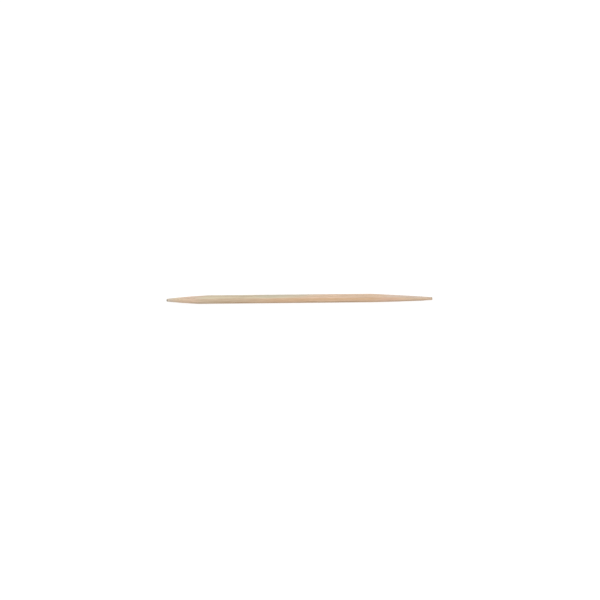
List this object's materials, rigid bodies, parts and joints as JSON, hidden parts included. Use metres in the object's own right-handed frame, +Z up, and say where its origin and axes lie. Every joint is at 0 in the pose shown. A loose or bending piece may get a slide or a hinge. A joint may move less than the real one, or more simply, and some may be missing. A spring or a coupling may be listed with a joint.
{
  "type": "toothpick",
  "caption": "Slim round wooden toothpick, a straight dowel sharpened to a blunt point at each end, one point longer than the other, for picking teeth and skewering small food.",
  "frame": {"origin": "on the surface that the toothpick lies on, midway between its two ends", "axes": "+X along the stick from the short point to the long point, +Z up, -Y the side that both points are set off to"},
  "size_m": [0.065, 0.002, 0.002],
  "materials": {
    "birch_wood": "bare sanded wood"
  },
  "bodies": {
    "root": {"toothpick": "birch_wood"}
  },
  "joints": []
}
